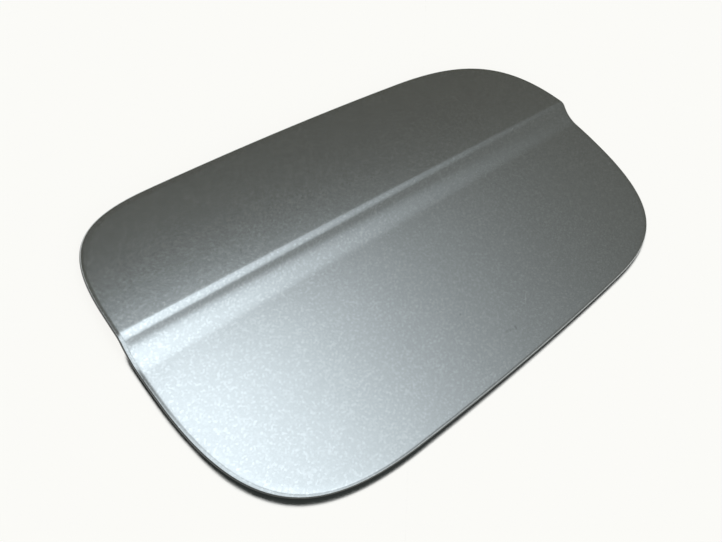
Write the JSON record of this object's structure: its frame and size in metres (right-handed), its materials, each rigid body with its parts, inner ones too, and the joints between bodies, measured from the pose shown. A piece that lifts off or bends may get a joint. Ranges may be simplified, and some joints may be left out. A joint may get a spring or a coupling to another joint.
{
  "type": "fuel filler flap",
  "caption": "Rounded, crowned steel flap with a stepped feature line along its length and a hemmed edge; closes a car's fuel filler recess once a hinge arm and latch hook are screwed on.",
  "frame": {"origin": "middle of the part's outline, on the plane that the lowest points of the hem rest on", "axes": "+X along the feature line, from the hinge end to the latch end; +Y across it, from the wider lower band to the narrower upper band; +Z out of the painted face"},
  "size_m": [0.1999, 0.1093, 0.0068],
  "materials": {
    "outer_skin": "metallic grey-blue base coat under clear lacquer",
    "inner_panel": "thin coat of the body colour over dip primer",
    "hinge_plate": "dip primer with body-colour overspray",
    "latch_plate": "dip primer with body-colour overspray",
    "mastic_pads": "cured expanding mastic, matt"
  },
  "bodies": {
    "root": {"outer_skin": "outer_skin", "inner_panel": "inner_panel", "hinge_plate": "hinge_plate", "latch_plate": "latch_plate", "mastic_pads": "mastic_pads"}
  },
  "joints": []
}
